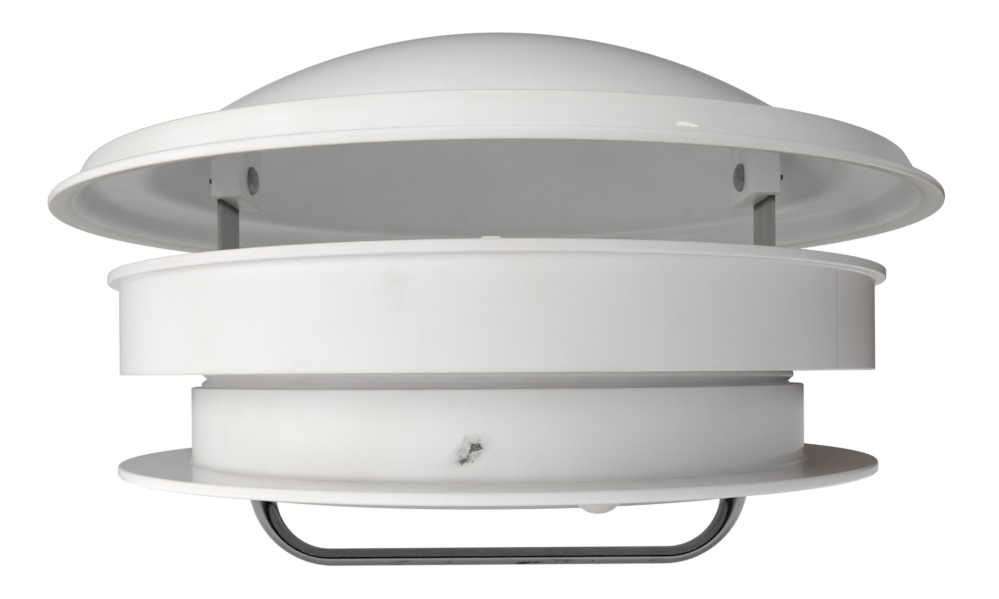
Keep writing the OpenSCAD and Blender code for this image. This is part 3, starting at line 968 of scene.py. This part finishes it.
def blued_spring(colours):
    finish = Finish("blued_spring_steel")
    drawn = finish.drawn((300.0, 1800.0, 60.0))
    skin = finish.mix(drawn.ease(0.3, 0.8), SPRING_BLUE, toned(colours.steel, 1.2))
    return finish.close(
        base_color=skin, metallic=0.9, roughness=0.3 + drawn * 0.2, normal=finish.bump(drawn, 0.03 * MM)
    )


def hand_over(piece, body, slot, *nodes):
    """Attaches a finished piece to its body and hides the nodes that it stands for; the slot is not used."""
    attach(piece, body)
    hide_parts(*nodes)


def eased_copy(name, node, material, edge, segments=2):
    """A node's solid with its flat faces joined and its edges rounded over."""
    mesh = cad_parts[node].data.copy()
    with edited(mesh) as work:
        bmesh.ops.remove_doubles(work, verts=work.verts, dist=2e-6)
        bmesh.ops.dissolve_limit(
            work, angle_limit=math.radians(0.5), verts=work.verts, edges=work.edges, delimit=set()
        )
        bmesh.ops.recalc_face_normals(work, faces=work.faces)
        for face in work.faces:
            face.smooth = True
    mesh.materials.clear()
    mesh.materials.append(material)
    holder = new_piece(name, mesh)
    bevel = holder.modifiers.new("eased edges", "BEVEL")
    bevel.width = edge
    bevel.segments = segments
    bevel.limit_method = "ANGLE"
    bevel.angle_limit = math.radians(32.0)
    bevel.harden_normals = True
    bevel.use_clamp_overlap = True
    return new_piece(name, evaluated_mesh(holder))


SLOT_REACH = 20.0 * MM


def slot_cut(mesh, width, depth, top):
    """Cuts a straight slot along X into the top of a fastener that stands on Z."""
    cutter = bpy.data.meshes.new("slot")
    with edited(cutter) as work:
        bmesh.ops.create_cube(work, size=1.0)
        bmesh.ops.scale(work, vec=(SLOT_REACH, width, 2 * depth), verts=work.verts)
        bmesh.ops.translate(work, vec=(0.0, 0.0, top), verts=work.verts)
    blade = new_piece("slot", cutter)
    holder = new_piece("slotted", mesh)
    cut = holder.modifiers.new("slot", "BOOLEAN")
    cut.operation = "DIFFERENCE"
    cut.solver = "EXACT"
    cut.object = blade
    slotted = evaluated_mesh(holder)
    bpy.data.objects.remove(blade)
    bpy.data.meshes.remove(cutter)
    return slotted


def lying(mesh, turn):
    """Turns a fastener that stands on Z about Y."""
    mesh.transform(Matrix.Rotation(turn, 4, "Y"))
    return mesh


class VENT_OT_make_dome(bpy.types.Operator):
    """Turns the formed dome about the vent's axis"""

    bl_idname = "vent.make_dome"
    bl_label = "Dome"

    def execute(self, context):
        scene = context.scene
        sizes = scene.vent_dome
        mesh = turned(dome_chain(sizes), sizes.segments, dome_finish(scene.vent_finish, sizes))
        hand_over(new_piece("formed_dome", mesh), "lid", "dome_plastic", "dome_shell")
        return {"FINISHED"}


def with_gate_mark(mesh, sizes):
    """Adds the stump of the moulding's gate to the front of the lip's upper edge."""
    with edited(mesh) as work:
        stump = bmesh.ops.create_cube(work, size=1.0)["verts"]
        bmesh.ops.scale(work, vec=(4.6 * MM, 1.1 * MM, 0.9 * MM), verts=stump)
        bmesh.ops.translate(work, vec=(-1.2 * MM, 0.9 * MM - sizes.lip_r, sizes.deck_z), verts=stump)
        edges = list(dict.fromkeys(edge for vert in stump for edge in vert.link_edges))
        bmesh.ops.bevel(work, geom=edges, offset=0.25 * MM, segments=2, affect="EDGES")
    return mesh


class VENT_OT_make_collar(bpy.types.Operator):
    """Turns the roof collar with its lip, deck and threaded spigot"""

    bl_idname = "vent.make_collar"
    bl_label = "Collar"

    def execute(self, context):
        scene = context.scene
        sizes = scene.vent_collar
        mesh = turned(
            collar_chain(sizes), scene.vent_dome.segments, collar_finish(scene.vent_finish),
            pitch=sizes.pitch, groove_depth=sizes.groove_d, thread_top=THREAD_TOP,
            thread_foot=sizes.spigot_z + THREAD_END, run_out=THREAD_RUN_OUT,
        )
        piece = new_piece("moulded_collar", with_gate_mark(mesh, sizes))
        hand_over(piece, "collar", "collar_plastic", "roof_collar", "threaded_spigot")
        return {"FINISHED"}


class VENT_OT_make_seal(bpy.types.Operator):
    """Turns the foam seal that sits in the deck's groove"""

    bl_idname = "vent.make_seal"
    bl_label = "Seal"

    def execute(self, context):
        scene = context.scene
        low, high = SEAL_LOW[2] + 0.02 * MM, SEAL_HIGH[2]
        outer = SEAL_HIGH[0] - 0.03 * MM
        inner = SEAL_HIGH[0] - SEAL_WIDTH + 0.05 * MM
        chain = shut(rounded([
            (inner, low, 0.2 * MM), (outer, low, 0.2 * MM), (outer, high, 0.6 * MM), (inner, high, 0.6 * MM),
        ]))
        mesh = turned(chain, scene.vent_dome.segments, foam_rubber(scene.vent_finish))
        hand_over(new_piece("foam_seal", mesh), "collar", "seal_rubber", "lip_seal")
        return {"FINISHED"}


PLUG_STEM = 2.95 * MM


class VENT_OT_make_ring(bpy.types.Operator):
    """Turns the ceiling ring and sets out the plugs on its flange"""

    bl_idname = "vent.make_ring"
    bl_label = "Ceiling ring and plugs"

    def execute(self, context):
        scene = context.scene
        sizes = scene.vent_ring
        mesh = turned(ring_chain(sizes), scene.vent_dome.segments, ring_finish(scene.vent_finish, sizes))
        hand_over(new_piece("clamp_ring", mesh), "ring", "ring_plastic", "ceiling_ring")
        under = sizes.flange_z - sizes.flange_t
        head = under - PLUG_LOW[2]
        half = sizes.plug_d / 2
        ball = (half ** 2 + head ** 2) / (2 * head)
        spread = math.asin(half / ball)
        dome = arc((0.0, ball - head), ball, -math.pi / 2, -math.pi / 2 + spread * 0.97, 14)
        top = sizes.flange_t - 0.05 * MM
        chain = dome + rounded([
            (*dome[-1], 0), (half, 0.0, 0.15 * MM), (PLUG_STEM, 0.0, 0.2 * MM), (PLUG_STEM, top, 0.2 * MM),
            (0.0, top, 0),
        ], closed=False)[1:]
        plugs = set_out(
            "ring_buttons", turned(chain, 48), sizes.plug_count, sizes.plug_r, under,
            sizes.plug_turn - math.pi / 2, button_finish(scene.vent_finish),
        )
        hand_over(plugs, "ring", "plug_plastic", "ring_plugs")
        return {"FINISHED"}


class VENT_OT_make_lugs(bpy.types.Operator):
    """Eases the edges of the blocks that are bonded under the cap"""

    bl_idname = "vent.make_lugs"
    bl_label = "Lugs"

    def execute(self, context):
        material = block_finish(context.scene.vent_finish)
        for side in SIDES:
            piece = eased_copy(f"{side}_bonded_block", f"{side}_lug", material, 0.5 * MM, 3)
            hand_over(piece, "lid", "lug_plastic", f"{side}_lug")
        return {"FINISHED"}


class VENT_OT_make_straps(bpy.types.Operator):
    """Eases the edges of the bent steel straps"""

    bl_idname = "vent.make_straps"
    bl_label = "Straps"

    def execute(self, context):
        material = rolled_steel(context.scene.vent_finish)
        for side in SIDES:
            piece = eased_copy(f"{side}_bent_strap", f"{side}_strap", material, 0.22 * MM)
            hand_over(piece, "lid", "strap_steel", f"{side}_strap")
        return {"FINISHED"}


class VENT_OT_make_rivets(bpy.types.Operator):
    """Sets out the domed rivets through the lugs"""

    bl_idname = "vent.make_rivets"
    bl_label = "Rivets"

    def execute(self, context):
        inner = LUG_LOW[0]
        head = inner - RIVET_LOW[0]
        half = (RIVET_HIGH[1] - RIVET_LOW[1]) / 2
        shank, tail, tail_h = 1.95 * MM, 2.5 * MM, 0.6 * MM
        stub, stub_h = 0.9 * MM, 4.2 * MM
        grip = RIVET_HIGH[0] - inner
        chain = rounded([
            (0.0, -head, 0), (half * 0.58, -head * 0.94, 2.5 * MM), (half, -head * 0.5, 1.1 * MM),
            (half, 0.0, 0.12 * MM), (shank, 0.0, 0.12 * MM), (shank, grip - tail_h, 0.1 * MM),
            (tail, grip - tail_h, 0.1 * MM), (tail, grip, 0.3 * MM), (stub, grip, 0.1 * MM),
            (stub, grip + stub_h, 0.3 * MM), (0.0, grip + stub_h, 0),
        ], closed=False)
        rivet = lying(turned(chain, 40), math.pi / 2)
        height = (RIVET_LOW[2] + RIVET_HIGH[2]) / 2
        material = zinc_plate(context.scene.vent_finish, "dull_zinc_rivet", 0.62)
        piece = set_out("domed_rivets", rivet, 2, inner, height, 0.0, material)
        hand_over(piece, "lid", "rivet_steel", "left_rivet", "right_rivet")
        return {"FINISHED"}


class VENT_OT_make_handle(bpy.types.Operator):
    """Sweeps the handle's rounded section along its bow"""

    bl_idname = "vent.make_handle"
    bl_label = "Handle"

    def execute(self, context):
        scene = context.scene
        mesh = bow_mesh(scene.vent_handle)
        mesh.materials.append(worn_chrome(scene.vent_finish))
        hand_over(new_piece("bow_handle", mesh), "lid", "handle_chrome", "handle")
        return {"FINISHED"}


SECTION_POINTS = 40
BEND_STEPS = 28
BAR_STEPS = 12
LEG_END = [(0.0, 0.90), (0.25 * MM, 0.965), (0.7 * MM, 1.0), (1.2 * MM, 1.0)]


def bow_path(sizes):
    """Outer and inner (x, z) points, scale and depth of each section, from the right leg to the left one."""
    inner_half = sizes.half - sizes.leg
    inner_z = sizes.bar_z + sizes.bar
    outer_centre = (sizes.half - sizes.bend, sizes.bar_z + sizes.bend)
    inner_centre = (inner_half - sizes.inner_bend, inner_z + sizes.inner_bend)
    half = [
        ((sizes.half, sizes.top_z - drop), (inner_half, sizes.top_z - drop), scale, sizes.depth)
        for drop, scale in LEG_END
    ]
    outer_arc = arc(outer_centre, sizes.bend, 0.0, -math.pi / 2, BEND_STEPS)
    inner_arc = arc(inner_centre, sizes.inner_bend, 0.0, -math.pi / 2, BEND_STEPS)
    for i, (outer, inner) in enumerate(zip(outer_arc, inner_arc)):
        half.append((outer, inner, 1.0, sizes.depth + (sizes.bar_depth - sizes.depth) * i / BEND_STEPS))
    outer, inner = half[-1][:2]
    for i in range(1, BAR_STEPS + 1):
        share = 1.0 - i / BAR_STEPS
        half.append(((outer[0] * share, outer[1]), (inner[0] * share, inner[1]), 1.0, sizes.bar_depth))
    other = [((-a[0], a[1]), (-b[0], b[1]), *rest) for a, b, *rest in reversed(half[:-1])]
    return half + other


def bow_mesh(sizes):
    """A closed skin of rounded sections along the bow."""
    mesh = bpy.data.meshes.new("bow_handle")
    exponent = 2.0 / sizes.squareness
    turns = [math.tau * k / SECTION_POINTS for k in range(SECTION_POINTS)]
    rings = []
    with edited(mesh) as work:
        for outer, inner, scale, depth in bow_path(sizes):
            middle = Vector(((outer[0] + inner[0]) / 2, 0.0, (outer[1] + inner[1]) / 2))
            across = Vector(((outer[0] - inner[0]) / 2, 0.0, (outer[1] - inner[1]) / 2)) * scale
            deep = Vector((0.0, depth / 2 * scale, 0.0))
            ring = []
            for turn in turns:
                c, s = (math.copysign(abs(part) ** exponent, part) for part in (math.cos(turn), math.sin(turn)))
                ring.append(work.verts.new(middle + across * c + deep * s))
            rings.append(ring)
        for first, second in zip(rings, rings[1:]):
            for k in range(SECTION_POINTS):
                on = (k + 1) % SECTION_POINTS
                work.faces.new((first[k], first[on], second[on], second[k]))
        for ring in (rings[0], rings[-1]):
            work.faces.new(ring)
        for face in work.faces:
            face.smooth = len(face.verts) == 4
        bmesh.ops.recalc_face_normals(work, faces=work.faces)
    return mesh


class VENT_OT_make_handle_screws(bpy.types.Operator):
    """Sets out the slotted screws and washers that hold the handle to the straps' feet"""

    bl_idname = "vent.make_handle_screws"
    bl_label = "Handle screws and washers"

    def execute(self, context):
        material = zinc_plate(context.scene.vent_finish, "bright_zinc_screw")
        radius = (WASHER_LOW[0] + WASHER_HIGH[0]) / 2
        bottom, top = HANDLE_SCREW_LOW[2], HANDLE_SCREW_HIGH[2]
        low, seat = WASHER_LOW[2], WASHER_HIGH[2]
        head = (HANDLE_SCREW_HIGH[1] - HANDLE_SCREW_LOW[1]) / 2
        outer = (WASHER_HIGH[1] - WASHER_LOW[1]) / 2
        shank, hole, slot = 1.95 * MM, 2.3 * MM, 1.1 * MM
        screw = turned(rounded([
            (0.0, bottom, 0), (shank, bottom, 0.5 * MM), (shank, seat, 0.15 * MM), (head, seat, 0.3 * MM),
            (head, top, 0.9 * MM), (0.0, top, 0),
        ], closed=False), 40)
        screw = slot_cut(screw, slot, slot, top)
        piece = set_out("slotted_handle_screws", screw, 2, radius, 0.0, 0.0, material)
        hand_over(piece, "lid", "screw_steel", "left_handle_screw", "right_handle_screw")
        disc = turned(shut(rounded([
            (hole, low, 0.1 * MM), (outer, low, 0.15 * MM), (outer, seat, 0.25 * MM), (hole, seat, 0.15 * MM),
        ])), 40)
        washers = set_out("plain_washers", disc, 2, radius, 0.0, 0.0, material)
        hand_over(washers, "lid", "screw_steel", "left_washer", "right_washer")
        return {"FINISHED"}


class VENT_OT_make_guides(bpy.types.Operator):
    """Eases the edges of the guides and the bowed leaf springs in them"""

    bl_idname = "vent.make_guides"
    bl_label = "Guides and springs"

    def execute(self, context):
        colours = context.scene.vent_finish
        grey, blue = matt_guide(colours), blued_spring(colours)
        for side in SIDES:
            guide = eased_copy(f"{side}_strap_guide", f"{side}_guide", grey, 0.4 * MM)
            hand_over(guide, "collar", "guide_plastic", f"{side}_guide")
            leaf = eased_copy(f"{side}_leaf_spring", f"{side}_spring", blue, 0.06 * MM, 1)
            hand_over(leaf, "collar", "spring_steel", f"{side}_spring")
        return {"FINISHED"}


class VENT_OT_make_guide_screws(bpy.types.Operator):
    """Sets out the pairs of screws that hold the guides to the bore"""

    bl_idname = "vent.make_guide_screws"
    bl_label = "Guide screws"

    def execute(self, context):
        inner, tip = GUIDE_SCREW_LOW[0], GUIDE_SCREW_HIGH[0] - GUIDE_SCREW_LOW[0]
        head, head_h, shank, slot = 2.75 * MM, 2.0 * MM, 1.45 * MM, 0.9 * MM
        spread = GUIDE_SCREW_HIGH[1] - head
        height = (GUIDE_SCREW_LOW[2] + GUIDE_SCREW_HIGH[2]) / 2
        screw = turned(rounded([
            (0.0, -tip, 0), (shank, -tip, 0.4 * MM), (shank, -head_h, 0.12 * MM), (head, -head_h, 0.2 * MM),
            (head, 0.0, 0.7 * MM), (0.0, 0.0, 0),
        ], closed=False), 32)
        screw = lying(slot_cut(screw, slot, slot, 0.0), -math.pi / 2)
        with edited(screw) as pair:
            bmesh.ops.translate(pair, vec=(0.0, -spread, 0.0), verts=pair.verts)
            first = len(pair.verts)
            pair.from_mesh(screw)
            pair.verts.ensure_lookup_table()
            bmesh.ops.translate(pair, vec=(0.0, spread, 0.0), verts=pair.verts[first:])
        material = zinc_plate(context.scene.vent_finish, "small_zinc_screw")
        piece = set_out("guide_screw_pairs", screw, 2, inner, height, 0.0, material)
        hand_over(piece, "collar", "screw_steel", "left_guide_screws", "right_guide_screws")
        return {"FINISHED"}


WHITE = (1.0, 1.0, 1.0, 1.0)
LAMP_COLOUR = (1.0, 0.992, 0.98)
SKY_COLOUR = (1.0, 0.995, 0.985, 1.0)
FLOOR_GREY = (0.76, 0.76, 0.76, 1.0)
FLOOR_EDGE = 3.0
WALL_R, WALL_TOP = 1.3, 6.0
WALL_PALE, WALL_BAND = (0.50, 0.50, 0.495), (0.30, 0.30, 0.297)
SILL_PALE, SILL_BROWN = (0.29, 0.285, 0.28), (0.045, 0.018, 0.004)
LAMP_AIM, LAMP_DISTANCE = Vector((0.0, 0.0, 0.02)), 1.6
TUBE_PLACE, TUBE_AIM = Vector((0.899, -0.344, 1.389)), Vector((0.0425, -0.127, 0.055))
TUBE_SIZE, TUBE_TURN = (0.12, 0.005), math.radians(-37.5)

# Name, bearing and height in degrees, width and height in metres
LAMPS = (
    ("left softbox", -62.0, 10.5, 0.9, 0.9),
    ("front softbox", 6.0, 13.0, 1.2, 0.9),
    ("low strip", -22.0, -4.0, 1.4, 0.3),
    ("high softbox", -90.0, 50.0, 0.9, 0.9),
    ("top softbox", 60.0, 74.0, 0.9, 0.9),
    ("back softbox", 150.0, 20.0, 0.9, 0.9),
)


def lamp(name, watts, place, aim, wide, tall):
    """A softbox that lights dull surfaces and isn't seen in the gloss."""
    light = bpy.data.lights.new(name, "AREA")
    light.energy = watts
    light.shape = "RECTANGLE"
    light.size = wide
    light.size_y = tall
    light.color = LAMP_COLOUR
    holder = bpy.data.objects.new(name, light)
    bpy.context.scene.collection.objects.link(holder)
    holder.location = place
    holder.rotation_euler = (aim - place).to_track_quat("-Z", "Y").to_euler()
    holder.visible_camera = False
    holder.visible_glossy = False
    return holder


def toward(azimuth, elevation, distance):
    """A place by its bearing from the front, positive to the right, and its height in degrees."""
    a, e = math.radians(azimuth), math.radians(elevation)
    return Vector((math.sin(a) * math.cos(e), -math.cos(a) * math.cos(e), math.sin(e))) * distance


def seen_directly(sheet):
    """1 for rays from the camera, a gloss or clear plastic, and 0 for light on dull surfaces."""
    path = sheet.node("ShaderNodeLightPath", out="Is Camera Ray")
    return (path + path.out("Is Glossy Ray") + path.out("Is Transmission Ray")).least(1.0)


def white_world(ambient):
    """White to look at, and a weak light on dull surfaces."""
    world = bpy.data.worlds.new("white surround")
    world.use_nodes = True
    sheet = Sheet(world.node_tree)
    soft = sheet.node("ShaderNodeBackground", None, {"Color": SKY_COLOUR, "Strength": ambient})
    white = sheet.node("ShaderNodeBackground", None, {"Color": WHITE, "Strength": 1.0})
    both = sheet.blend(seen_directly(sheet), soft, white)
    sheet.node("ShaderNodeOutputWorld", None, {"Surface": both})
    bpy.context.scene.world = world


def floor_finish(stage):
    """Pale and dull near the part, and plain white to look at further out."""
    floor = Finish("pale_floor")
    dull = floor.node("ShaderNodeBsdfDiffuse", None, {"Color": FLOOR_GREY})
    white = floor.node("ShaderNodeEmission", None, {"Color": WHITE, "Strength": 1.0})
    clear = seen_directly(floor) * floor.radius().ease(stage.floor_r * 0.45, stage.floor_r)
    return floor.show(floor.blend(clear, dull, white))


def wall_finish(stage):
    """What the gloss reflects: dark in front, pale high up, and a band and a sill behind."""
    wall = Finish("grey_wall")
    tone = (stage.wall_tone,) * 3
    behind = wall.y.ease(-0.2, 0.4)
    band = behind * wall.z.ease(0.2, 0.32) * wall.z.ease(0.75, 0.45)
    sill = behind * wall.z.ease(-0.06, 0.0) * wall.z.ease(0.32, 0.2)
    skin = wall.mix(wall.z.ease(0.55, 1.2), toned(tone, 0.05), tone)
    for amount, shade in (
        (band, WALL_BAND),
        (behind * wall.z.ease(0.0, -0.06), WALL_PALE),
        (sill * wall.x.ease(0.1, -0.4), SILL_PALE),
        (sill * wall.x.ease(0.1, 0.4), SILL_BROWN),
        (wall.z.ease(0.9, 4.5), WALL_PALE),
    ):
        skin = wall.mix(amount, skin, shade)
    return wall.show(wall.node("ShaderNodeEmission", None, {"Color": skin, "Strength": 1.0}))


def stage_mesh(name, corners, faces, material):
    mesh = bpy.data.meshes.new(name)
    mesh.from_pydata(corners, [], faces)
    mesh.materials.append(material)
    piece = new_piece(name, mesh)
    return piece


def circle(radius, height, count=64):
    return [
        (radius * math.cos(math.tau * k / count), radius * math.sin(math.tau * k / count), height)
        for k in range(count)
    ]


def place_camera(scene, stage):
    """Sets the camera level with the collar's foot, in front of the part."""
    camera = bpy.data.cameras.new("photograph view")
    camera.lens = stage.lens
    camera.sensor_width = 36.0
    camera.shift_x = stage.shift_x
    camera.shift_y = stage.shift_y
    camera.clip_start = 0.01
    holder = bpy.data.objects.new("photograph view", camera)
    scene.collection.objects.link(holder)
    holder.location = (0.0, -stage.distance, 0.0)
    holder.rotation_euler = (math.pi / 2, stage.roll, 0.0)
    scene.camera = holder


class VENT_OT_make_stage(bpy.types.Operator):
    """Sets the camera, the floor, the wall and the lamps"""

    bl_idname = "vent.make_stage"
    bl_label = "Stage"

    def execute(self, context):
        scene = context.scene
        stage = scene.vent_stage
        place_camera(scene, stage)
        edge = circle(FLOOR_EDGE, stage.floor_z)
        stage_mesh("pale_floor", edge, [tuple(range(len(edge)))], floor_finish(stage))
        foot, top = circle(WALL_R, stage.floor_z + 0.01), circle(WALL_R, WALL_TOP)
        count = len(foot)
        sides = [(k, (k + 1) % count, count + (k + 1) % count, count + k) for k in range(count)]
        wall = stage_mesh("grey_wall", foot + top, sides, wall_finish(stage))
        for ray in ("camera", "diffuse", "shadow", "transmission", "volume_scatter"):
            setattr(wall, f"visible_{ray}", False)
        for name, azimuth, elevation, wide, tall in LAMPS:
            watts = getattr(stage, f"{name.split()[0]}_power")
            lamp(name, watts, LAMP_AIM + toward(azimuth, elevation, LAMP_DISTANCE), LAMP_AIM, wide, tall)
        tube = lamp("tube", stage.tube_power, TUBE_PLACE, TUBE_AIM, *TUBE_SIZE)
        tube.rotation_euler.rotate_axis("Z", TUBE_TURN)
        tube.visible_glossy = True
        white_world(stage.ambient)
        scene.view_settings.view_transform = "Standard"
        return {"FINISHED"}


MAKERS = (
    VENT_OT_make_dome,
    VENT_OT_make_collar,
    VENT_OT_make_seal,
    VENT_OT_make_ring,
    VENT_OT_make_lugs,
    VENT_OT_make_straps,
    VENT_OT_make_rivets,
    VENT_OT_make_handle,
    VENT_OT_make_handle_screws,
    VENT_OT_make_guides,
    VENT_OT_make_guide_screws,
    VENT_OT_make_stage,
)


class VENT_PT_sidebar(bpy.types.Panel):
    """Sizes, colours and makers of the roof vent"""

    bl_idname = "VENT_PT_sidebar"
    bl_label = "Roof vent"
    bl_space_type = "VIEW_3D"
    bl_region_type = "UI"
    bl_category = "Roof vent"

    def draw(self, context):
        for maker in MAKERS:
            self.layout.operator(maker.bl_idname, text=maker.bl_label)
        for name, group in SETTINGS.items():
            box = self.layout.box()
            box.label(text=group.__doc__)
            for key in group.__annotations__:
                box.prop(getattr(context.scene, name), key)


def register():
    for group in SETTINGS.values():
        bpy.utils.register_class(group)
    for name, group in SETTINGS.items():
        setattr(bpy.types.Scene, name, PointerProperty(type=group))
    for maker in MAKERS:
        bpy.utils.register_class(maker)
    bpy.utils.register_class(VENT_PT_sidebar)


def unregister():
    bpy.utils.unregister_class(VENT_PT_sidebar)
    for maker in reversed(MAKERS):
        bpy.utils.unregister_class(maker)
    for name in SETTINGS:
        delattr(bpy.types.Scene, name)
    for group in reversed(SETTINGS.values()):
        bpy.utils.unregister_class(group)


def main():
    register()
    for maker in MAKERS:
        group, name = maker.bl_idname.split(".")
        getattr(getattr(bpy.ops, group), name)()


if __name__ == "__main__":
    main()
